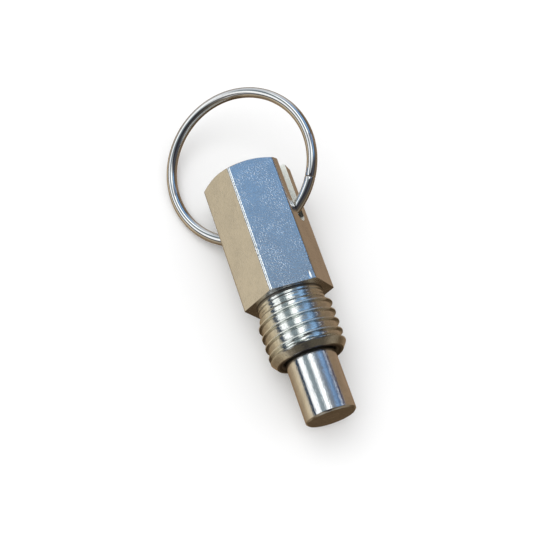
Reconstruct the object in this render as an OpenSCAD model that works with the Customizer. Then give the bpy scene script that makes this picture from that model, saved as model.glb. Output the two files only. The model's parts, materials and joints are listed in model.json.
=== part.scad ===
// Spring-loaded pin: a hexagon body with a threaded nose, a sprung plunger and a wire pull ring.
// It lies on one hexagon flat. The plunger's axis is X, with the nose towards +X.
// The origin is on that axis, midway along the thread.

/* [Hexagon] */
// Size across the flats
hex_af = 20; // [17:0.5:24]
// Length from the tail end to the shoulder
hex_len = 34.5; // [32:0.5:42]
// How far the rounded corners stand back from sharp ones
corner_cut = 0.14; // [0.05:0.01:0.3]
// Angle of the tail chamfer, measured from the end face
tail_chamfer_deg = 30; // [15:1:40]

/* [Threaded nose] */
// Outside diameter of the thread
thread_d = 19.05; // [18.5:0.05:19.5]
// Thread pitch, which sets the depth of the relief beside the shoulder
thread_pitch = 2.54; // [1.5:0.01:2.6]
// Length from the shoulder to the nose end
nose_len = 15.8; // [14:0.2:22]
// Length of the relief before it ramps up to the thread
relief_len = 2.9; // [1.5:0.1:4]
// Depth of the chamfer at the nose end, measured from the thread's outside
nose_chamfer_depth = 1.2; // [0.6:0.1:1.6]
// Length of the chamfer at the nose end
nose_chamfer_len = 1.6; // [0.8:0.1:2.4]

/* [Plunger] */
// Diameter of the locking pin
pin_d = 12.5; // [10:0.1:12.8]
// How far the pin stands out of the nose
pin_reach = 15.2; // [10:0.2:18]
// Chamfer round the pin's tip
tip_chamfer = 0.45; // [0.2:0.05:1]
// Diameter of the tail rod
rod_d = 6.6; // [6.2:0.1:7.4]
// Length of the tail rod behind the middle of the ring hole
rod_tail_len = 4.2; // [3.5:0.1:6]
// How far the plunger can be pulled back
stroke = 18; // [15:0.5:19]

/* [Slot] */
// Width of the slot that the ring sits in
slot_w = 4.8; // [4.2:0.1:5.6]
// Distance from the shoulder back to the slot's bottom
slot_from_shoulder = 17.25; // [16:0.25:18]
// Solid web between the slot's bottom and the spring's floor
web = 2.5; // [1.8:0.1:3.5]

/* [Spring] */
// Wire diameter of the spring
spring_wire = 1; // [0.7:0.1:1.1]
// Number of turns, ends included
spring_turns = 5; // [4.5:0.5:6]

/* [Pull ring] */
// Wire diameter of the ring
ring_wire = 2.7; // [2.2:0.1:3]
// Diameter of the ring to the middle of its wire
ring_d = 38.6; // [34:0.2:46]
// Gap between the wire's two ends
ring_gap = 0.15; // [0.1:0.05:0.6]
// Place of that gap round the ring, counted from the plunger
ring_gap_at = 55; // [50:1:310]

/* [Hidden] */

$fn = 96;
steel = [0.70, 0.74, 0.80];
pin_steel = [0.78, 0.79, 0.80];
wire_steel = [0.62, 0.63, 0.64];
spring_steel = [0.45, 0.46, 0.48];

// radial gaps of the sliding fits, and the step from the guide land down to the pin
slide_gap = 0.05;
pin_step = 0.2;
// how far the guide land stays behind the nose end
land_inset = 1.2;
// depth of the neck between the land and the pin, and how far it shows in front of the nose
neck_depth = 0.25;
neck_show = 0.25;
// edge breaks at the two mouths of the bore
mouth_break = 0.6;

// hexagon
corner_r = hex_af / 2 / cos(30) - corner_cut;
tail_face_r = hex_af / 2 * 0.985;
tail_chamfer_len = (corner_r - tail_face_r) * tan(tail_chamfer_deg);

// nose
thread_r = thread_d / 2;
thread_depth = 0.5 * thread_pitch;
relief_r = thread_r - thread_depth;
thread_from = relief_len + thread_depth;
thread_to = nose_len - nose_chamfer_len;
origin_x = (thread_from + thread_to) / 2;

// bore, guide hole and plunger
land_r = pin_d / 2 + pin_step;
bore_r = land_r + slide_gap;
rod_r = rod_d / 2;
guide_r = rod_r + slide_gap;
floor_x = -(slot_from_shoulder - web);
spring_solid = spring_wire * spring_turns;
land_x = floor_x + spring_solid + stroke + 0.2;

// ring: it rises by its own curve between the plunger's axis and the rod's side
ring_r = ring_d / 2;
wire_r = ring_wire / 2;
rise_at_rod = ring_r - sqrt(ring_r * ring_r - guide_r * guide_r);
seat_gap = 0.02;
ring_x = -slot_from_shoulder - wire_r + rise_at_rod - seat_gap;
ring_hole_r = wire_r + rise_at_rod + 0.12;
// the slot runs through two hexagon faces that are 30 degrees off level
slot_roll = 30;
// the ring is tilted up just enough to lie clear of the ground under the flat
ground_gap = 0.1;
drop_ratio = (hex_af / 2 - wire_r - ground_gap) / ring_r;
lift_part = (pow(sin(slot_roll), 2) - drop_ratio * drop_ratio) / (2 * drop_ratio);
ring_lift = max(0, asin(lift_part / cos(slot_roll)));

// spring
spring_len = land_x - floor_x;
spring_mid_r = bore_r - 0.15 - spring_wire / 2;
spring_steps = 24;
spring_sides = 8;
flat_turns = 0.5;
ramp_turns = 0.5;

// lays a piece drawn up the Z axis from the shoulder along X, in the part's own frame
module along_axis() {
    translate([-origin_x, 0, 0])
        rotate([0, 90, 0])
            children();
}

// turns a piece about the axis so that its Y runs through the slot
module slot_frame() {
    translate([-origin_x, 0, 0])
        rotate([slot_roll, 0, 0])
            children();
}

// solid of revolution from radius and axis pairs
module turned(profile) {
    along_axis()
        rotate_extrude()
            polygon(profile);
}

module hexagon_bar() {
    intersection() {
        along_axis()
            translate([0, 0, -hex_len])
                rotate([0, 0, 30])
                    cylinder(d = hex_af / cos(30), h = hex_len, $fn = 6);
        turned([
            [0, -hex_len],
            [tail_face_r, -hex_len],
            [corner_r, tail_chamfer_len - hex_len],
            [corner_r, 1],
            [0, 1]
        ]);
    }
}

module threaded_nose() {
    turned([
        [0, -1],
        [relief_r, -1],
        [relief_r, relief_len],
        [thread_r, thread_from],
        [thread_r, thread_to],
        [thread_r - nose_chamfer_depth, nose_len],
        [0, nose_len]
    ]);
}

module stepped_bore() {
    turned([
        [0, -hex_len - 1],
        [guide_r + mouth_break + 1, -hex_len - 1],
        [guide_r, mouth_break - hex_len],
        [guide_r, floor_x],
        [bore_r, floor_x],
        [bore_r, nose_len - mouth_break],
        [bore_r + mouth_break + 1, nose_len + 1],
        [0, nose_len + 1]
    ]);
}

module ring_slot() {
    end_x = -slot_from_shoulder - slot_w / 2;
    slot_frame() {
        translate([end_x, 0, 0])
            rotate([90, 0, 0])
                cylinder(d = slot_w, h = hex_af * 2, center = true);
        translate([-hex_len - 1, -hex_af, -slot_w / 2])
            cube([end_x + hex_len + 1, hex_af * 2, slot_w]);
    }
}

module body() {
    color(steel)
        difference() {
            union() {
                hexagon_bar();
                threaded_nose();
            }
            stepped_bore();
            ring_slot();
        }
}

module plunger() {
    tip_x = nose_len + pin_reach;
    step_x = nose_len - land_inset;
    pin_x = nose_len + neck_show;
    neck_r = pin_d / 2 - neck_depth;
    tail_x = ring_x - rod_tail_len;
    color(pin_steel)
        difference() {
            turned([
                [0, tail_x],
                [rod_r - tip_chamfer, tail_x],
                [rod_r, tail_x + tip_chamfer],
                [rod_r, land_x],
                [land_r - 0.3, land_x],
                [land_r, land_x + 0.3],
                [land_r, step_x],
                [neck_r, step_x],
                [neck_r, pin_x],
                [pin_d / 2, pin_x],
                [pin_d / 2, tip_x - tip_chamfer],
                [pin_d / 2 - tip_chamfer, tip_x],
                [0, tip_x]
            ]);
            slot_frame()
                translate([ring_x, 0, 0])
                    rotate([90, 0, 0])
                        cylinder(r = ring_hole_r, h = rod_d * 2, center = true);
        }
}

// height of the coil's centre line after a number of turns: flat, ramping up, then even
function coil_ramp(t) =
    t <= flat_turns ? 0 :
    t <= flat_turns + ramp_turns ? pow(t - flat_turns, 2) / (2 * ramp_turns) :
    t - flat_turns - ramp_turns / 2;
function coil_run(t) =
    t <= spring_turns / 2 ? coil_ramp(t) : 2 * coil_ramp(spring_turns / 2) - coil_ramp(spring_turns - t);
function coil_height(t) =
    spring_wire / 2 + (spring_len - spring_wire) * coil_run(t) / coil_run(spring_turns);
function coil_point(t, side) =
    let (reach = spring_mid_r + spring_wire / 2 * cos(side))
    [reach * cos(360 * t), reach * sin(360 * t), coil_height(t) + spring_wire / 2 * sin(side)];

module spring() {
    count = spring_turns * spring_steps;
    points = [
        for (i = [0:count])
            for (k = [0:spring_sides - 1])
                coil_point(i / spring_steps, 360 * k / spring_sides)
    ];
    skin = [
        for (i = [0:count - 1])
            for (k = [0:spring_sides - 1])
                let (a = i * spring_sides + k)
                let (b = i * spring_sides + (k + 1) % spring_sides)
                each [[a, a + spring_sides, b], [b, a + spring_sides, b + spring_sides]]
    ];
    first_end = [for (k = [0:spring_sides - 1]) k];
    last_end = [for (k = [spring_sides - 1:-1:0]) count * spring_sides + k];
    color(spring_steel)
        along_axis()
            translate([0, 0, floor_x])
                polyhedron(points = points, faces = concat(skin, [first_end], [last_end]));
}

module pull_ring() {
    gap_deg = ring_gap / ring_r * 180 / PI;
    color(wire_steel)
        slot_frame()
            translate([ring_x, 0, 0])
                rotate([0, ring_lift, 0])
                    translate([-ring_r, 0, 0])
                        rotate([0, 0, ring_gap_at])
                            rotate_extrude(angle = 360 - gap_deg)
                                translate([ring_r, 0])
                                    circle(d = ring_wire, $fn = 32);
}

body();
plunger();
spring();
pull_ring();
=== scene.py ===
"""Looks of the spring-loaded pin: a plated hexagon body, a bright sprung plunger and a wire pull ring."""

import json
import math

import bmesh
import bpy
from mathutils import Matrix, Vector


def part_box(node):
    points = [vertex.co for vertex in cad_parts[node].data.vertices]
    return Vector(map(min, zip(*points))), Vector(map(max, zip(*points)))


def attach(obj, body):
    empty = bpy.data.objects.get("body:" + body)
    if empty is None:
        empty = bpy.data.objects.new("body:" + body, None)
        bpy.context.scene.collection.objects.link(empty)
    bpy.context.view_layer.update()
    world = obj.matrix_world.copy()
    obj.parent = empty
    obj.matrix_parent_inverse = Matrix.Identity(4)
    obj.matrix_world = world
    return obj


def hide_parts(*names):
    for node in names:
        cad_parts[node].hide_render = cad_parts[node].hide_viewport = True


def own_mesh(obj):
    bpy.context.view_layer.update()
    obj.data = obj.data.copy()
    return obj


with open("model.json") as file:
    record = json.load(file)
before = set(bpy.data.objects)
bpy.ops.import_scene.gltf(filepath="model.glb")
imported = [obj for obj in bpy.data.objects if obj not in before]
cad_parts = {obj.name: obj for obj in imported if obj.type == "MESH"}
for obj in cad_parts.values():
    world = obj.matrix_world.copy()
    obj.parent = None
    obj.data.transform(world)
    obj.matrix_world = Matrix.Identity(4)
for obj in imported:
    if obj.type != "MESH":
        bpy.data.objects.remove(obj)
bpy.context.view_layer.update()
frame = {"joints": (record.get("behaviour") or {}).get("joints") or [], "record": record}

# Sizes in millimetres. X is measured from the hexagon's shoulder, and is positive towards the pin's tip.
MM = 0.001
mounts = {mount["name"]: mount for mount in frame["record"]["mounts"]}
joints = {joint["name"]: joint for joint in frame["joints"]}
shoulder_x = mounts["shoulder"]["pos_m"][0] / MM
ground_z = mounts["hexagon_flat"]["pos_m"][2] / MM


def node_end(node, corner):
    """X of a node's low (0) or high (1) end, from the shoulder."""
    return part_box(node)[corner].x / MM - shoulder_x


# hexagon, with rounded corners and a turned chamfer at its tail end
hex_af = -2 * ground_z
apothem = hex_af / 2
hex_len = -node_end("body", 0)
side_deg = 60
half_side = math.radians(side_deg / 2)
corner_round = 0.9
flat_half = (apothem - corner_round) * math.tan(half_side)
flat_steps = 20
corner_steps = 8
tail_face_part = 0.985
tail_face_r = apothem * tail_face_part
tail_chamfer_deg = 30
tail_slope = math.tan(math.radians(tail_chamfer_deg))

# threaded nose
nose_len = node_end("body", 1)
nose_chamfer_len = 1.6
nose_chamfer_depth = 1.2
thread_r = mounts["thread"]["dims"]["r_mm"]
thread_pitch = 2.54
thread_depth = 0.75

# form of the thread: phase in turns, and the crest's flat land and rounding as parts of half a pitch
thread_phase = 0.59
crest_land = 0.12
crest_round = 0.05
flank_power = 11
# length over which the thread fades out before the nose chamfer, and the rounding where they meet
run_out = 0.8
edge_round = 0.25
# points in each pitch, how much they crowd at the crest, and how many faces each side of it have its finish
thread_samples = 20
crest_crowding = 0.11
crest_faces = 3

# relief beside the shoulder, with the tool's feed marks from relief_from on
relief_len = 2.9
relief_depth = 0.5 * thread_pitch
relief_r = thread_r - relief_depth
root_end = 0.4
relief_from = 0.45
relief_samples = 26
feed_pitch = 0.95
feed_depth = 0.03

# plunger and bore
pin = mounts["locking_pin"]
pin_r = pin["dims"]["r_mm"]
pin_tip = node_end("plunger", 1)
pin_from = pin["pos_m"][0] / MM - pin["dims"]["length_mm"] / 2 - shoulder_x
pin_columns = 128
tip_chamfer = 0.45
neck_depth = 0.25
neck_r = pin_r - neck_depth
land_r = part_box("plunger")[1].z / MM
land_inset = 1.2
land_front = nose_len - land_inset
land_back = node_end("spring", 1)
land_chamfer = 0.3
rod_r = 3.3
rod_end = node_end("plunger", 0)
slide_gap = 0.05
bore_r = land_r + slide_gap
guide_r = rod_r + slide_gap
mouth_break = 0.6
# length of the last stretch that closes the bore's outline on the tail mouth's slope
closing_step = 0.01
floor_x = node_end("spring", 0)

# slot, cut a little deeper than the solid's so that the ring swings without rubbing on it
slot_w = 4.8
slot_half = slot_w / 2
slot_from_shoulder = 17.25
ring_room = 0.03
slot_bottom = ring_room - slot_from_shoulder
slot_centre = slot_bottom - slot_half
slot_roll = math.radians(30)
slot_break = 0.09
slot_steps = 24
cutter_overhang = 2

# pull ring: it rises by its own curve inside the rod, and is tilted up to clear the ground
solid_wire_r = 1.35
wire_r = 1.335
ring_r = 19.3
ring_x = joints["ring_swing"]["pos_m"][0] / MM - shoulder_x
ring_rise = ring_r - math.sqrt(ring_r ** 2 - guide_r ** 2)
hole_clearance = 0.12
ring_hole_r = solid_wire_r + ring_rise + hole_clearance
hole_sides = 48
ground_gap = 0.1
ring_drop = (apothem - solid_wire_r - ground_gap) / ring_r
ring_lift = math.asin((math.sin(slot_roll) ** 2 - ring_drop ** 2) / (2 * ring_drop * math.cos(slot_roll)))
ring_gap_at = math.radians(55)
ring_gap = 0.12
ring_steps = 300
ring_sides = 24
# depth and length of the rounding at the wire's ends, and the places of its points along that length
end_break = 0.12
end_places = (0.0, 0.4, 1.0)

# spring: its end turns lie flat and then ramp up to the even rise between them
spring_wire = 1.0
spring_turns = 5
spring_gap = 0.15
spring_r = bore_r - spring_gap - spring_wire / 2
spring_steps = 48
spring_sides = 14
flat_turns = 0.5
ramp_turns = 0.5

# roundings of the edges and inner corners
tail_round = 0.12
side_round = 0.15
shoulder_round = 0.10
root_round = 0.15
mouth_round = 0.05
floor_round = 0.15
rod_round = 0.1
land_round = 0.08
neck_round = 0.04
pin_foot_round = 0.05
pin_round = 0.08
tip_round = 0.18

# marks of use: a nick in the upper flat; and painted shade beside the shoulder, at the bore's mouth and in
# the slot beside the ring the painted shade fades between two radii, and the slot's painted shade is counted
# from the slot's bottom
nick_x = -1.1
nick_y = 4.3
nick_size = (1.3, 0.45, 0.5)
corner_shade_len = 0.7
corner_shade_fade = (8.7, 9.8)
mouth_shade_len = 0.1
mouth_shade_fade = (7.6, 8.4)
ring_shade_rise = (-4.4, -3.8)
ring_shade_fall = (-2.0, -1.6)

# camera, fitted to the photograph, and the stage, whose larger sizes are in metres
camera_eye = (102.84, -62.74, 280.27)
camera_aim = (-9.92, -2.66, 0.0)
camera_roll = math.radians(10.9083)
camera_lens = 85.0
floor_gap = 0.1
floor_half_m = 4.0
lamp_place_m = (-0.15, -0.25, 0.9)
lamp_size_m = 0.9
lamp_watts = 3.0


# Materials

class Nodes:
    """Adds nodes to a tree. A value is a number, some numbers, or the output of another node."""

    def __init__(self, tree):
        self.tree = tree

    def feed(self, socket, value):
        """Links an output to a socket, or sets a constant on it."""
        if isinstance(value, bpy.types.NodeSocket):
            self.tree.links.new(value, socket)
        else:
            socket.default_value = value

    def add(self, kind, settings=None, **inputs):
        """A node with its settings. Its inputs are given by name, or by number as i0, i1 and so on."""
        node = self.tree.nodes.new(kind)
        for key, value in (settings or {}).items():
            setattr(node, key, value)
        for key, value in inputs.items():
            number = key[1:]
            self.feed(node.inputs[int(number) if number.isdigit() else key], value)
        return node

    def calc(self, operation, *values):
        inputs = {f"i{k}": value for k, value in enumerate(values)}
        return self.add("ShaderNodeMath", {"operation": operation}, **inputs).outputs[0]

    def vector_calc(self, operation, output, **inputs):
        return self.add("ShaderNodeVectorMath", {"operation": operation}, **inputs).outputs[output]

    def times(self, first, second):
        return self.calc("MULTIPLY", first, second)

    def larger(self, first, second):
        return self.calc("MAXIMUM", first, second)

    def weigh(self, value, factor, more):
        """The value times a factor, plus more."""
        return self.calc("MULTIPLY_ADD", value, factor, more)

    def span(self, value, given, wanted=(0.0, 1.0)):
        """Maps a value from the given range to the wanted one, clamped."""
        ends = {"i1": given[0], "i2": given[1], "i3": wanted[0], "i4": wanted[1]}
        return self.add("ShaderNodeMapRange", i0=value, **ends).outputs[0]

    def noise(self, vector, scale, detail=2.0, rough=0.55):
        inputs = {"Vector": vector, "Scale": scale, "Detail": detail, "Roughness": rough}
        return self.add("ShaderNodeTexNoise", **inputs).outputs[0]

    def stretched(self, vector, scale):
        return self.add("ShaderNodeMapping", Vector=vector, Scale=scale).outputs[0]

    def blend(self, factor, first, second):
        """From a first colour to a second one. Each is an output, or red, green and blue."""
        first, second = [c if isinstance(c, bpy.types.NodeSocket) else c + (1.0,) for c in (first, second)]
        return self.add("ShaderNodeMix", {"data_type": "RGBA"}, i0=factor, i6=first, i7=second).outputs[2]

    def ramp(self, value, stops):
        """A colour ramp over 0 to 1 from (place, colour) stops."""
        node = self.add("ShaderNodeValToRGB", i0=value)
        elements = node.color_ramp.elements
        elements.remove(elements[1])
        elements[0].position = stops[0][0]
        elements[0].color = stops[0][1] + (1.0,)
        for at, color in stops[1:]:
            elements.new(at).color = color + (1.0,)
        return node.outputs[0]


def new_metal(name, metallic=1.0):
    """A metal, its nodes, and the object's own coordinates in millimetres."""
    material = bpy.data.materials.new(name)
    material.use_nodes = True
    nodes = Nodes(material.node_tree)
    nodes.tree.nodes["Principled BSDF"].inputs["Metallic"].default_value = metallic
    where = nodes.add("ShaderNodeTexCoord").outputs["Object"]
    return material, nodes, nodes.vector_calc("SCALE", "Vector", i0=where, Scale=1 / MM)


def finish_metal(nodes, tone, light, dark, rough, height, depth):
    """Colour from light to dark and roughness over a range, both by tone, and a bump in millimetres."""
    shader = nodes.tree.nodes["Principled BSDF"]
    nodes.feed(shader.inputs["Base Color"], nodes.blend(tone, light, dark))
    nodes.feed(shader.inputs["Roughness"], nodes.span(tone, (0.0, 1.0), rough))
    bump = nodes.add("ShaderNodeBump", Height=height, Strength=1.0, Distance=depth * MM)
    nodes.feed(shader.inputs["Normal"], bump.outputs[0])


def lathe_parts(nodes, in_mm):
    """X, and the distance from the X axis."""
    x, y, z = nodes.add("ShaderNodeSeparateXYZ", i0=in_mm).outputs
    across = nodes.add("ShaderNodeCombineXYZ", Y=y, Z=z).outputs[0]
    return x, nodes.vector_calc("LENGTH", "Value", i0=across)


def lathe_rings(nodes, along, radius, scale):
    """A noise that is the same all round the X axis, so that it makes rings as a lathe does."""
    return nodes.noise(nodes.add("ShaderNodeCombineXYZ", X=along, Y=radius).outputs[0], scale)


def nick_dent(nodes, in_mm):
    """How deep a point lies in the nick: 2 in its middle, and 0 from its rim outwards."""
    middle = (shoulder_x + nick_x, nick_y, apothem)
    scaled_middle = [at / size for at, size in zip(middle, nick_size)]
    scaled = nodes.stretched(in_mm, [1 / size for size in nick_size])
    distance = nodes.vector_calc("DISTANCE", "Value", i0=scaled, i1=scaled_middle)
    return nodes.span(distance, (0.0, 1.0), (2.0, 0.0))


def hexagon_material():
    """Bright zinc plate over drawn bar: orange peel, specks, swirls, faint drawing lines and a nick."""
    material, nodes, in_mm = new_metal("zinc_plated_flats")
    peel = nodes.noise(in_mm, scale=1.6, detail=3.0, rough=0.6)
    speck = nodes.span(nodes.noise(in_mm, scale=2.6, detail=0.0), (0.56, 0.70))
    off_swirl = nodes.calc("SUBTRACT", nodes.noise(in_mm, scale=1.3, detail=0.0), 0.5)
    swirl = nodes.span(nodes.calc("ABSOLUTE", off_swirl), (0.0, 0.05), (1.0, 0.0))
    patch = nodes.span(nodes.noise(in_mm, scale=0.22, detail=1.0), (0.40, 0.62), (0.45, 1.0))
    lines = nodes.noise(nodes.stretched(in_mm, (0.03, 1.0, 1.0)), scale=5.0)
    height = nodes.times(peel, 0.48)
    height = nodes.weigh(nodes.times(speck, patch), 0.16, height)
    height = nodes.weigh(nodes.times(swirl, patch), 0.2, height)
    height = nodes.weigh(nick_dent(nodes, in_mm), -1.0, height)
    height = nodes.weigh(lines, 0.15, height)
    cloud = nodes.noise(in_mm, scale=0.2, detail=3.0, rough=0.6)
    tone = nodes.span(nodes.weigh(peel, 0.5, cloud), (0.55, 0.95))
    finish_metal(nodes, tone, light=(0.84, 0.87, 0.90), dark=(0.75, 0.78, 0.81), rough=(0.12, 0.18),
                 height=height, depth=0.05)
    return material


def turned_material():
    """The same plate over turned faces: the lathe's fine rings, and painted shade in the corner by the
    shoulder and on the end face round the mouth.
    """
    material, nodes, in_mm = new_metal("zinc_plated_turned")
    along, radius = lathe_parts(nodes, in_mm)
    rings = lathe_rings(nodes, along, radius, scale=4.0)
    peel = nodes.noise(in_mm, scale=2.0, detail=3.0, rough=0.6)
    fleck = nodes.span(peel, (0.3, 0.7), (0.0, 0.25))
    # painted shade in the inner corner between the shoulder and the relief
    corner_end = shoulder_x + corner_shade_len
    beside_shoulder = nodes.calc("COMPARE", along, shoulder_x, corner_shade_len)
    corner = nodes.times(beside_shoulder, nodes.span(radius, corner_shade_fade, (1.0, 0.0)))
    corner = nodes.times(corner, nodes.span(along, (shoulder_x, corner_end), (1.0, 0.0)))
    # painted shade on the nose's end face round the bore's mouth
    nose_x = shoulder_x + nose_len
    on_end_face = nodes.span(along, (nose_x - mouth_shade_len, nose_x))
    mouth = nodes.times(on_end_face, nodes.span(radius, mouth_shade_fade, (1.0, 0.0)))
    # the dark colour is painted shade at the corner and the mouth, and random flecks elsewhere
    tone = nodes.larger(nodes.larger(corner, mouth), fleck)
    finish_metal(nodes, tone, light=(0.86, 0.89, 0.87), dark=(0.16, 0.14, 0.12), rough=(0.12, 0.40),
                 height=nodes.weigh(rings, 0.5, peel), depth=0.02)
    return material


def crest_material():
    """The thread's crests: paler and more matt than the rest of the nose; the paler colour is a painted
    highlight along the crests.
    """
    material, nodes, in_mm = new_metal("thread_crests")
    grain = nodes.noise(in_mm, scale=3.0, detail=3.0, rough=0.7)
    tone = nodes.span(grain, (0.35, 0.65))
    finish_metal(nodes, tone, light=(0.98, 1.00, 0.96), dark=(0.88, 0.90, 0.85), rough=(0.26, 0.42),
                 height=grain, depth=0.03)
    return material


def milled_material():
    """The slot's walls: pale and matt from the cutter, with painted shade beside the ring near the slot's
    bottom.
    """
    material, nodes, in_mm = new_metal("milled_slot", metallic=0.3)
    marks = nodes.noise(nodes.stretched(in_mm, (1.0, 0.25, 0.25)), scale=3.0, detail=3.0, rough=0.7)
    grain = nodes.noise(in_mm, scale=2.5, detail=4.0, rough=0.7)
    along = nodes.add("ShaderNodeSeparateXYZ", i0=in_mm).outputs[0]
    # painted shade where the ring crosses the slot, fading in and out along X
    bottom = shoulder_x + slot_bottom
    rise = nodes.span(along, [bottom + x for x in ring_shade_rise])
    fall = nodes.span(along, [bottom + x for x in ring_shade_fall], (1.0, 0.0))
    fleck = nodes.span(grain, (0.3, 0.7), (0.0, 0.18))
    tone = nodes.larger(nodes.times(fall, rise), fleck)
    finish_metal(nodes, tone, light=(0.95, 0.97, 0.92), dark=(0.10, 0.10, 0.09), rough=(0.42, 0.58),
                 height=nodes.weigh(marks, 0.7, grain), depth=0.08)
    return material


def bore_shade_material():
    """The bore, the guide hole and the mouths: darker, painted shade inside the holes, with the drill's
    rings.
    """
    material, nodes, in_mm = new_metal("bored_steel_painted_shade")
    rings = lathe_rings(nodes, *lathe_parts(nodes, in_mm), scale=3.0)
    tone = nodes.span(rings, (0.3, 0.7))
    finish_metal(nodes, tone, light=(0.30, 0.30, 0.29), dark=(0.20, 0.20, 0.19), rough=(0.35, 0.5),
                 height=rings, depth=0.02)
    return material


def pin_material():
    """The pin: the brightest surface, ground, with a fine grain that frays the edges of what it mirrors."""
    material, nodes, in_mm = new_metal("bright_pin")
    rings = lathe_rings(nodes, *lathe_parts(nodes, in_mm), scale=5.0)
    grain = nodes.noise(in_mm, scale=4.0, detail=1.0)
    streaks = nodes.noise(nodes.stretched(in_mm, (0.35, 1.0, 1.0)), scale=4.0, detail=1.0)
    cloud = nodes.noise(in_mm, scale=0.3)
    tone = nodes.span(nodes.weigh(grain, 0.5, cloud), (0.5, 1.0))
    height = nodes.weigh(rings, 0.1, nodes.weigh(streaks, 0.8, grain))
    finish_metal(nodes, tone, light=(0.90, 0.91, 0.92), dark=(0.74, 0.75, 0.76), rough=(0.03, 0.08),
                 height=height, depth=0.02)
    return material


def wire_material(name, light, dark, rough, depth):
    """Drawn wire: smooth, with a little grain."""
    material, nodes, in_mm = new_metal(name)
    grain = nodes.noise(in_mm, scale=1.8, detail=3.0, rough=0.6)
    cloud = nodes.noise(in_mm, scale=0.25)
    tone = nodes.span(nodes.weigh(grain, 0.5, cloud), (0.5, 1.0))
    finish_metal(nodes, tone, light, dark, rough, height=grain, depth=depth)
    return material


pin_steel = pin_material()
bore_shade_steel = bore_shade_material()
ring_steel = wire_material("plated_wire", (0.80, 0.80, 0.80), (0.68, 0.68, 0.69), (0.02, 0.06), 0.004)
spring_steel = wire_material("spring_wire", (0.50, 0.51, 0.53), (0.40, 0.41, 0.43), (0.22, 0.34), 0.012)

# the body's finishes, and the number of each in its list
body_steels = [hexagon_material(), turned_material(), milled_material(), bore_shade_steel, crest_material()]
FLAT, TURNED, MILLED, BORED, CREST = range(len(body_steels))


# Mesh helpers

fillet_steps = 3
# largest part of a straight stretch that the rounding at one end may take up
fillet_part = 0.45
weld_distance_m = 1e-6
# edges that bend more than this stay sharp: on turned and flat faces, and on wire
sharp_deg = 32
wire_sharp_deg = 60


def fillet(points):
    """Rounds each (x, r, radius) corner of an open outline into the same number of (x, r) points."""
    out = []
    last = len(points) - 1
    for i, (x, r, radius) in enumerate(points):
        here = Vector((x, r))
        if i in (0, last):
            out.append(here)
            continue
        back = Vector(points[i - 1][:2]) - here
        ahead = Vector(points[i + 1][:2]) - here
        half = back.angle(ahead) / 2
        reach = min(radius / math.tan(half), fillet_part * back.length, fillet_part * ahead.length)
        start = here + back.normalized() * reach
        end = here + ahead.normalized() * reach
        for k in range(fillet_steps + 1):
            t = k / fillet_steps
            out.append(start * (1 - t) ** 2 + here * 2 * t * (1 - t) + end * t ** 2)
    return [(point.x, point.y) for point in out]


def corner_at(i):
    """Index of the first point that fillet makes for corner i. Corner 0, where it starts, is one point."""
    return 1 + (i - 1) * (fillet_steps + 1)


def part_point(x, y, z):
    """A point in metres in the part's frame, from millimetres with X counted from the shoulder."""
    return Vector((x + shoulder_x, y, z)) * MM


def place(x, r, angle):
    """A point in metres in the part's frame, at radius r and an angle counted from +Y towards +Z."""
    return part_point(x, r * math.cos(angle), r * math.sin(angle))


def link_mesh(name, bm):
    """Turns a bmesh into an object in the scene."""
    mesh = bpy.data.meshes.new(name)
    bm.to_mesh(mesh)
    bm.free()
    obj = bpy.data.objects.new(name, mesh)
    bpy.context.collection.objects.link(obj)
    return obj


def only_finish(k, x):
    """The finish of each face of a piece that has one finish."""
    return 0


def grid_mesh(name, columns, materials, finish_of, loop):
    """A closed skin through columns of points. loop closes each column, and points that meet are welded.

    finish_of gives a face's material by the index of its first point in the column and by that point's X.
    """
    bm = bmesh.new()
    rows = [[bm.verts.new(point) for point in column] for column in columns]
    count = len(columns[0])
    for a, b in zip(rows, rows[1:]):
        for k in range(count if loop else count - 1):
            n = (k + 1) % count
            face = bm.faces.new((a[k], b[k], b[n], a[n]))
            face.material_index = finish_of(k, a[k].co.x / MM - shoulder_x)
            face.smooth = True
    bmesh.ops.remove_doubles(bm, verts=bm.verts, dist=weld_distance_m)
    bmesh.ops.holes_fill(bm, edges=[e for e in bm.edges if e.is_boundary], sides=0)
    bmesh.ops.recalc_face_normals(bm, faces=bm.faces)
    obj = link_mesh(name, bm)
    for material in materials:
        obj.data.materials.append(material)
    return obj


def cut(obj, cutter):
    """Takes the cutter's shape out of obj, and removes the cutter."""
    modifier = obj.modifiers.new("cut", "BOOLEAN")
    modifier.operation = "DIFFERENCE"
    modifier.solver = "EXACT"
    modifier.object = cutter
    graph = bpy.context.evaluated_depsgraph_get()
    mesh = bpy.data.meshes.new_from_object(obj.evaluated_get(graph))
    obj.modifiers.remove(modifier)
    obj.data = mesh
    bpy.data.objects.remove(cutter)


def finish_piece(obj, body, node, sharp=sharp_deg):
    """Smooth shading that keeps flats flat and real edges crisp, then the frame's own bookkeeping."""
    obj.data.set_sharp_from_angle(angle=math.radians(sharp))
    weighted = obj.modifiers.new("flat_faces", "WEIGHTED_NORMAL")
    weighted.keep_sharp = True
    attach(obj, body)
    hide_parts(node)
    return obj


# Body

def hex_radius(angle):
    """Radius of the rounded hexagon. Corners are at 0, 60 and so on, flats between them."""
    off = math.radians(math.degrees(angle) % side_deg - side_deg / 2)
    if abs(math.tan(off)) * apothem <= flat_half:
        return apothem / math.cos(off)
    centre = (apothem - corner_round) / math.cos(half_side)
    beside = half_side - abs(off)
    return centre * math.cos(beside) + math.sqrt(corner_round ** 2 - (centre * math.sin(beside)) ** 2)


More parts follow.
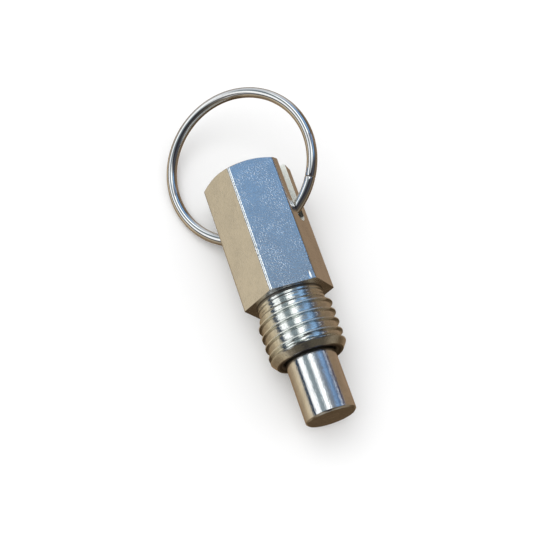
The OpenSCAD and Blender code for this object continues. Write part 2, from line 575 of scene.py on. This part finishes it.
def hex_angles():
    """Column angles over a full turn: even steps across each flat, and closer ones round each corner."""
    tiny = 1e-6
    middle = side_deg / 2
    turn = math.degrees(math.atan(flat_half / apothem))
    flat = [middle + turn * (2 * k / flat_steps - 1) for k in range(flat_steps + 1)]
    corner = [middle + turn + (middle - turn) * 2 * k / corner_steps for k in range(1, corner_steps)]
    angles = sorted(a + side_deg * k for k in range(-1, 6) for a in flat + corner)
    inside = [a for a in angles if tiny < a < 360 - tiny]
    return [math.radians(a) for a in [0.0] + inside + [360.0]]


def thread_cut(part):
    """Depth cut below the thread's crest for a part of one pitch: narrow crests between broad roots."""
    beside_land = max(1 - abs(2 * part - 1) - crest_land, 0.0)
    near = 1 + crest_round - math.hypot(beside_land, crest_round)
    return thread_depth * (1 - near ** flank_power)


def nose_radius(x, angle):
    """Radius of the thread, cut back by the ramp out of the relief and by the nose end's chamfer."""
    turns = x / thread_pitch - thread_phase - angle / (2 * math.pi)
    before_chamfer = nose_len - nose_chamfer_len - x
    full = min(max(before_chamfer / run_out, 0.0), 1.0)
    thread = thread_r - thread_cut(turns % 1.0) * full ** 2 * (3 - 2 * full)
    ramp = relief_r + max(0.0, x - relief_len)
    chamfer = thread_r + nose_chamfer_depth * before_chamfer / nose_chamfer_len
    near_edge = max(edge_round - abs(thread - chamfer), 0.0)
    return min(ramp, min(thread, chamfer) - near_edge ** 2 / (4 * edge_round))


def hexagon_points(angle):
    """From the tail end's mouth over the hexagon and down the shoulder to the start of the relief."""
    side_r = hex_radius(angle)
    chamfer_len = (side_r - tail_face_r) * tail_slope
    return fillet([
        (-hex_len, guide_r + mouth_break, 0.0),
        (-hex_len, tail_face_r, tail_round),
        (chamfer_len - hex_len, side_r, side_round),
        (0.0, side_r, shoulder_round),
        (0.0, relief_r, root_round),
        (root_end, relief_r, 0.0),
    ])


def relief_points(angle):
    """The relief beside the shoulder, with the tool's feed marks."""
    points = []
    for k in range(relief_samples):
        x = relief_from + (relief_len - relief_from) * k / relief_samples
        wave = math.sin(2 * math.pi * (x / feed_pitch) - angle)
        points.append((x, relief_r + feed_depth * wave))
    return points


def thread_points(angle):
    """Points along one line of the nose. They follow the thread's helix, so its crest stays crisp."""
    first = math.floor(relief_len / thread_pitch) - 2
    last = math.ceil(nose_len / thread_pitch) + 2
    points = []
    for k in range(first * thread_samples, last * thread_samples + 1):
        even = k / thread_samples
        closer_at_crest = even - crest_crowding * math.sin(2 * math.pi * even)
        x = thread_pitch * (closer_at_crest + thread_phase + angle / (2 * math.pi))
        x = min(max(x, relief_len), nose_len)
        points.append((x, nose_radius(x, angle)))
    return points


def bore_points():
    """From the nose end's face through the bore and the guide hole to the tail end's mouth."""
    guide_end = mouth_break - hex_len
    return fillet([
        (nose_len, thread_r - nose_chamfer_depth, 0.0),
        (nose_len, bore_r + mouth_break, mouth_round),
        (nose_len - mouth_break, bore_r, mouth_round),
        (floor_x, bore_r, floor_round),
        (floor_x, guide_r, mouth_round),
        (guide_end, guide_r, mouth_round),
        (guide_end - closing_step, guide_r + closing_step, 0.0),
    ])


def make_body():
    columns = []
    for angle in hex_angles():
        hexagon = hexagon_points(angle)
        nose = relief_points(angle) + thread_points(angle)
        columns.append([place(x, r, angle) for x, r in hexagon + nose + bore_points()])
    # the flats' finish starts on the tail chamfer's edge and ends at the foot of the shoulder
    flats_from = corner_at(2) + 2
    flats_to = corner_at(4)
    thread_from = len(hexagon) + relief_samples
    thread_to = len(hexagon) + len(nose) - 1
    # the bore's darker finish, painted shade, starts where the mouth's edge has turned inwards
    bore_from = len(hexagon) + len(nose) + corner_at(1) + fillet_steps

    def finish_of(k, x):
        if flats_from <= k < flats_to:
            return FLAT
        if k >= bore_from:
            return BORED
        in_thread = thread_from <= k < thread_to and x <= nose_len - nose_chamfer_len
        half = thread_samples // 2
        from_crest = (k - thread_from + half) % thread_samples - half
        return CREST if in_thread and -crest_faces <= from_crest < crest_faces else TURNED

    body = grid_mesh("hex_body", columns, body_steels, finish_of, True)
    cut(body, slot_cutter())
    mark_slot(body)
    return finish_piece(body, "body", "body")


def slot_frame():
    """The slot's own axes: X along the plunger, Y through the slot, Z across its width."""
    return Matrix.Translation((shoulder_x * MM, 0, 0)) @ Matrix.Rotation(slot_roll, 4, "X")


def slot_cutter():
    """A bar with one round edge, through the tail half of the hexagon."""
    past_tail = -hex_len - cutter_overhang
    outline = [(past_tail, -slot_half)]
    for k in range(slot_steps + 1):
        turn = math.radians(-90 + 180 * k / slot_steps)
        outline.append((slot_centre + slot_half * math.cos(turn), slot_half * math.sin(turn)))
    outline.append((past_tail, slot_half))
    bm = bmesh.new()
    near = [bm.verts.new(slot_frame() @ (Vector((x, -hex_af, z)) * MM)) for x, z in outline]
    far = [bm.verts.new(slot_frame() @ (Vector((x, hex_af, z)) * MM)) for x, z in outline]
    bm.faces.new(near)
    bm.faces.new(reversed(far))
    for k in range(len(near)):
        n = (k + 1) % len(near)
        bm.faces.new((near[n], near[k], far[k], far[n]))
    bmesh.ops.recalc_face_normals(bm, faces=bm.faces)
    return link_mesh("slot_cutter", bm)


def on_slot_wall(points):
    """Whether a face with these corners, in the slot's axes, is on a flat wall or on the round bottom."""
    close = 1e-3
    close_to_arc = 2e-2
    flat = all(abs(abs(p.z) - slot_half) < close and p.x < slot_centre + close for p in points)
    one_side = len({p.z > 0 for p in points}) == 1
    off_arc = [abs(math.hypot(p.x - slot_centre, p.z) - slot_half) for p in points]
    bottom = all(off < close_to_arc and p.x > slot_centre - close for off, p in zip(off_arc, points))
    return (flat and one_side) or bottom


def mark_slot(body):
    """Gives the slot's walls their own finish and breaks its edges."""
    to_slot = slot_frame().inverted()
    bm = bmesh.new()
    bm.from_mesh(body.data)
    walls = set()
    for face in bm.faces:
        if on_slot_wall([(to_slot @ v.co) / MM for v in face.verts]):
            face.material_index = MILLED
            walls.add(face)
    edges = [e for e in bm.edges if len([f for f in e.link_faces if f in walls]) == 1]
    bmesh.ops.bevel(bm, geom=edges, offset=slot_break * MM, segments=2, profile=0.5, affect="EDGES",
                    clamp_overlap=True)
    for face in bm.faces:
        face.smooth = True
    bm.to_mesh(body.data)
    bm.free()


# Plunger

def make_plunger():
    outline = fillet([
        (rod_end, 0.0, 0.0),
        (rod_end, rod_r - tip_chamfer, rod_round),
        (rod_end + tip_chamfer, rod_r, rod_round),
        (land_back, rod_r, rod_round),
        (land_back, land_r - land_chamfer, land_round),
        (land_back + land_chamfer, land_r, land_round),
        (land_front, land_r, neck_round),
        (land_front, neck_r, neck_round),
        (pin_from, neck_r, pin_foot_round),
        (pin_from, pin_r, pin_round),
        (pin_tip - tip_chamfer, pin_r, tip_round),
        (pin_tip, pin_r - tip_chamfer, tip_round),
        (pin_tip, 0.0, 0.0),
    ])
    # the neck's dark bore finish is painted shade inside the mouth; it runs from the land's front edge to
    # the pin's foot
    neck_from = corner_at(6) + 1
    neck_to = corner_at(9) + 1
    angles = [2 * math.pi * k / pin_columns for k in range(pin_columns + 1)]
    columns = [[place(x, r, angle) for x, r in outline] for angle in angles]

    def finish_of(k, x):
        return int(neck_from <= k < neck_to)

    plunger = grid_mesh("locking_plunger", columns, [pin_steel, bore_shade_steel], finish_of, False)
    cut(plunger, hole_cutter())
    return finish_piece(plunger, "plunger", "plunger")


def hole_cutter():
    """A rod across the plunger's tail, where the ring goes through."""
    bm = bmesh.new()
    radius = ring_hole_r * MM
    bmesh.ops.create_cone(bm, cap_ends=True, segments=hole_sides, radius1=radius, radius2=radius,
                          depth=4 * rod_r * MM)
    across = Matrix.Translation((ring_x * MM, 0, 0)) @ Matrix.Rotation(math.pi / 2, 4, "X")
    bm.transform(slot_frame() @ across)
    return link_mesh("hole_cutter", bm)


# Spring

def coil_ramp(turns):
    """Rise of the coil after some turns, in pitches: none over the flat turns, then a ramp, then even."""
    beyond = turns - flat_turns
    if beyond <= 0.0:
        return 0.0
    return beyond ** 2 / (2 * ramp_turns) if beyond <= ramp_turns else beyond - ramp_turns / 2


def coil_run(turns):
    """The same rise, with the second half as the mirror image of the first."""
    middle = spring_turns / 2
    return coil_ramp(turns) if turns <= middle else 2 * coil_ramp(middle) - coil_ramp(spring_turns - turns)


def make_spring():
    length = land_back - floor_x
    columns = []
    for i in range(spring_turns * spring_steps + 1):
        turns = i / spring_steps
        x = floor_x + spring_wire / 2 + (length - spring_wire) * coil_run(turns) / coil_run(spring_turns)
        angle = 2 * math.pi * turns - math.pi / 2
        column = []
        for k in range(spring_sides):
            side = 2 * math.pi * k / spring_sides
            reach = spring_r + spring_wire / 2 * math.cos(side)
            column.append(place(x + spring_wire / 2 * math.sin(side), reach, angle))
        columns.append(column)
    spring = grid_mesh("coil_spring", columns, [spring_steel], only_finish, True)
    finish_piece(spring, "body", "spring", wire_sharp_deg)
    place(floor_x, 0, 0)
    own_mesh(spring)
    return spring


# Pull ring

def make_ring():
    seat = slot_frame() @ Matrix.Translation((ring_x * MM, 0, 0)) @ Matrix.Rotation(ring_lift, 4, "Y")
    total = 2 * math.pi - ring_gap / ring_r
    ends = [end_break / ring_r * part for part in end_places]
    between = [total * k / ring_steps for k in range(2, ring_steps - 1)]
    turns = ends + between + [total - turn for turn in reversed(ends)]
    full_at = len(ends) - 1
    columns = []
    for i, turn in enumerate(turns):
        angle = ring_gap_at + turn
        from_end = min(i, len(turns) - 1 - i, full_at)
        thick = wire_r - end_break * (1 - from_end / full_at) ** 2
        column = []
        for k in range(ring_sides):
            side = 2 * math.pi * k / ring_sides
            reach = ring_r + thick * math.cos(side)
            x = reach * math.cos(angle) - ring_r
            point = Vector((x, reach * math.sin(angle), thick * math.sin(side)))
            column.append(seat @ (point * MM))
        columns.append(column)
    ring = grid_mesh("wire_ring", columns, [ring_steel], only_finish, True)
    return finish_piece(ring, "pull_ring", "pull_ring", wire_sharp_deg)


make_body()
make_plunger()
make_spring()
make_ring()


# Stage: a pale floor, a soft studio surround and the camera

def make_floor():
    half = floor_half_m
    z = (ground_z - floor_gap) * MM
    mesh = bpy.data.meshes.new("floor")
    corners = [(-half, -half, z), (half, -half, z), (half, half, z), (-half, half, z)]
    mesh.from_pydata(corners, [], [(0, 1, 2, 3)])
    floor = bpy.data.objects.new("floor", mesh)
    bpy.context.collection.objects.link(floor)
    material = bpy.data.materials.new("pale_floor")
    material.use_nodes = True
    shader = material.node_tree.nodes["Principled BSDF"]
    shader.inputs["Base Color"].default_value = (0.92, 0.92, 0.92, 1.0)
    shader.inputs["Roughness"].default_value = 0.9
    shader.inputs["Specular IOR Level"].default_value = 0.1
    mesh.materials.append(material)
    # the plated faces mirror the warm surround below them, as they do on a wooden bench
    floor.visible_glossy = False


def turn_part(degrees):
    """An angle about the part's axis as a part of a turn, from 0 at -180 degrees to 1 at 180."""
    return (degrees + 180) / 360


def side_bands(nodes, along, around):
    """Bands about the part's axis, as (degrees, colour), one set for the pin and one for the thread.

    0 degrees is the far side, 90 is straight up, and 180 is the near side. The bench lies below.
    """
    white_wall = (1.25, 1.27, 1.27)
    dark_gap = (0.04, 0.06, 0.09)
    pale_window = (1.40, 1.41, 1.42)
    grey_wall = (0.30, 0.36, 0.39)
    blue_window = (0.32, 0.54, 0.86)
    bright_window = (1.65, 1.70, 1.68)
    dim_wall = (0.20, 0.25, 0.27)
    bench = [
        (-180, (0.70, 0.61, 0.46)), (-159, (0.63, 0.51, 0.34)), (-148, (0.42, 0.33, 0.22)),
        (-130, (0.36, 0.27, 0.17)), (-100, (0.28, 0.19, 0.11)), (-60, (0.26, 0.18, 0.11)),
        (-40, (0.32, 0.22, 0.14)),
    ]
    near_side = [
        (138, white_wall), (158, white_wall), (161, dark_gap), (175, dark_gap), (179, (0.66, 0.58, 0.45)),
    ]
    for_pin = bench + [
        (18, (0.30, 0.21, 0.13)), (21, (0.40, 0.36, 0.35)), (23, (0.03, 0.04, 0.09)),
        (31, (0.03, 0.04, 0.10)), (34, (0.85, 0.92, 1.05)), (37, (0.80, 0.88, 1.00)),
        (40, (0.08, 0.14, 0.30)), (48, (0.16, 0.26, 0.42)), (62, (0.17, 0.26, 0.42)),
        (68, (0.20, 0.22, 0.26)), (84, (0.24, 0.26, 0.29)), (91, (0.40, 0.42, 0.44)),
        (95, pale_window), (105, pale_window), (109, grey_wall), (133, grey_wall),
    ] + near_side
    for_thread = bench + [
        (-20, (0.24, 0.17, 0.11)), (18, (0.22, 0.16, 0.10)), (30, (0.16, 0.12, 0.09)),
        (36, (0.06, 0.07, 0.09)), (46, (0.08, 0.12, 0.18)), (52, blue_window), (64, blue_window),
        (70, (0.16, 0.21, 0.26)), (81, (0.20, 0.25, 0.29)), (88, bright_window), (107, bright_window),
        (114, dim_wall), (131, dim_wall),
    ] + near_side
    pin_sky, thread_sky = [
        nodes.ramp(around, [(turn_part(angle), color) for angle, color in bands])
        for bands in (for_pin, for_thread)
    ]
    # the pin mirrors a narrow range of directions along the axis
    before_pin = nodes.span(along, (-0.305, -0.29), (1.0, 0.0))
    past_pin = nodes.span(along, (-0.22, -0.12))
    return nodes.blend(nodes.larger(before_pin, past_pin), pin_sky, thread_sky)


def add_blue_window(nodes, sky, along, around):
    """The blue that the upper flat mirrors."""
    low_edge = nodes.span(around, (turn_part(64), turn_part(70)))
    high_edge = nodes.span(around, (turn_part(89), turn_part(93)), (1.0, 0.0))
    end_edge = nodes.span(along, (-0.36, -0.31), (1.0, 0.0))
    window = nodes.times(nodes.times(low_edge, high_edge), end_edge)
    shades = [(0.0, (0.22, 0.38, 0.61)), (1.0, (0.21, 0.32, 0.46))]
    blue = nodes.ramp(nodes.span(along, (-0.46, -0.34)), shades)
    return nodes.blend(window, sky, blue)


def add_tail_wall(nodes, sky, along, height):
    """A pale wall beyond the tail end."""
    wall = nodes.ramp(height, [
        (0.0, (0.20, 0.17, 0.13)), (0.42, (0.40, 0.36, 0.31)), (0.52, (0.62, 0.62, 0.61)),
        (0.68, (0.80, 0.82, 0.85)), (0.85, (0.55, 0.60, 0.66)),
    ])
    return nodes.blend(nodes.span(along, (-0.85, -0.65), (1.0, 0.0)), sky, wall)


def add_nose_wall(nodes, sky, along, across, up, height):
    """A dark roof over the nose, a brown wall beyond it, and a faint pale patch low in that wall."""
    roof = nodes.times(nodes.span(along, (0.02, 0.15), (0.0, 0.9)), nodes.span(up, (0.3, 0.45)))
    sky = nodes.blend(roof, sky, (0.06, 0.05, 0.045))
    wall = nodes.ramp(height, [
        (0.0, (0.058, 0.036, 0.018)), (0.30, (0.12, 0.08, 0.045)), (0.42, (0.24, 0.19, 0.13)),
        (0.54, (0.26, 0.21, 0.15)), (0.66, (0.11, 0.09, 0.065)), (0.85, (0.09, 0.08, 0.06)),
        (0.95, (0.5, 0.52, 0.55)),
    ])
    low = nodes.times(nodes.span(along, (-0.05, 0.3)), nodes.span(up, (0.2, 0.5), (1.0, 0.0)))
    low = nodes.times(low, nodes.span(across, (-0.5, -0.2), (0.45, 1.0)))
    sky = nodes.blend(nodes.larger(low, nodes.span(along, (0.6, 0.72))), sky, wall)
    patch = nodes.times(nodes.span(along, (0.85, 0.92), (0.0, 0.3)), nodes.span(up, (0.05, 0.2), (1.0, 0.0)))
    return nodes.blend(patch, sky, (0.62, 0.64, 0.57))


def add_dark_patch(nodes, sky, way, middle, fade, strength, color):
    """A round dark patch about a direction, fading in over a range of the cosine of the angle to it."""
    toward = nodes.vector_calc("DOT_PRODUCT", "Value", i0=way, i1=middle)
    return nodes.blend(nodes.span(toward, fade, (0.0, strength)), sky, color)


def make_surround():
    """What the metal mirrors: a brown bench, and pale and blue windows. The floor is lit by plain white."""
    world = bpy.data.worlds.new("studio")
    bpy.context.scene.world = world
    world.use_nodes = True
    nodes = Nodes(world.node_tree)
    way = nodes.add("ShaderNodeTexCoord").outputs["Generated"]
    along, across, up = nodes.add("ShaderNodeSeparateXYZ", i0=way).outputs
    around = nodes.span(nodes.calc("ARCTAN2", up, across), (-math.pi, math.pi))
    height = nodes.span(up, (-1.0, 1.0))
    sky = side_bands(nodes, along, around)
    sky = add_blue_window(nodes, sky, along, around)
    sky = add_tail_wall(nodes, sky, along, height)
    sky = add_nose_wall(nodes, sky, along, across, up, height)
    beyond_tip = (0.93, -0.08, 0.35)
    sky = add_dark_patch(nodes, sky, way, beyond_tip, (0.96, 0.98), 0.85, (0.02, 0.02, 0.03))
    photographer = (0.366, -0.195, 0.910)
    sky = add_dark_patch(nodes, sky, way, photographer, (0.88, 0.95), 0.92, (0.03, 0.03, 0.04))
    path = nodes.add("ShaderNodeLightPath")
    not_mirrored = nodes.larger(path.outputs["Is Camera Ray"], path.outputs["Is Diffuse Ray"])
    plain_white = (0.93, 0.93, 0.93)
    nodes.feed(nodes.tree.nodes["Background"].inputs["Color"], nodes.blend(not_mirrored, sky, plain_white))


def make_lights():
    light = bpy.data.lights.new("soft_top", "AREA")
    light.shape = "DISK"
    light.size = lamp_size_m
    light.energy = lamp_watts
    lamp = bpy.data.objects.new("soft_top", light)
    lamp.location = lamp_place_m
    lamp.rotation_euler = (Vector((0, 0, 0)) - lamp.location).to_track_quat("-Z", "Y").to_euler()
    lamp.visible_glossy = False
    bpy.context.collection.objects.link(lamp)


def make_camera():
    """The photograph's camera: a view from above the nose, turned a little about its own line of sight."""
    camera = bpy.data.cameras.new("camera")
    camera.sensor_width = 36.0
    camera.lens = camera_lens
    camera.clip_start = 0.01
    obj = bpy.data.objects.new("camera", camera)
    bpy.context.collection.objects.link(obj)
    eye = part_point(*camera_eye)
    aim = part_point(*camera_aim)
    look = (aim - eye).to_track_quat("-Z", "Y").to_matrix().to_4x4()
    obj.matrix_world = Matrix.Translation(eye) @ look @ Matrix.Rotation(camera_roll, 4, "Z")
    bpy.context.scene.camera = obj


make_floor()
make_surround()
make_lights()
make_camera()
bpy.context.scene.view_settings.view_transform = "Standard"
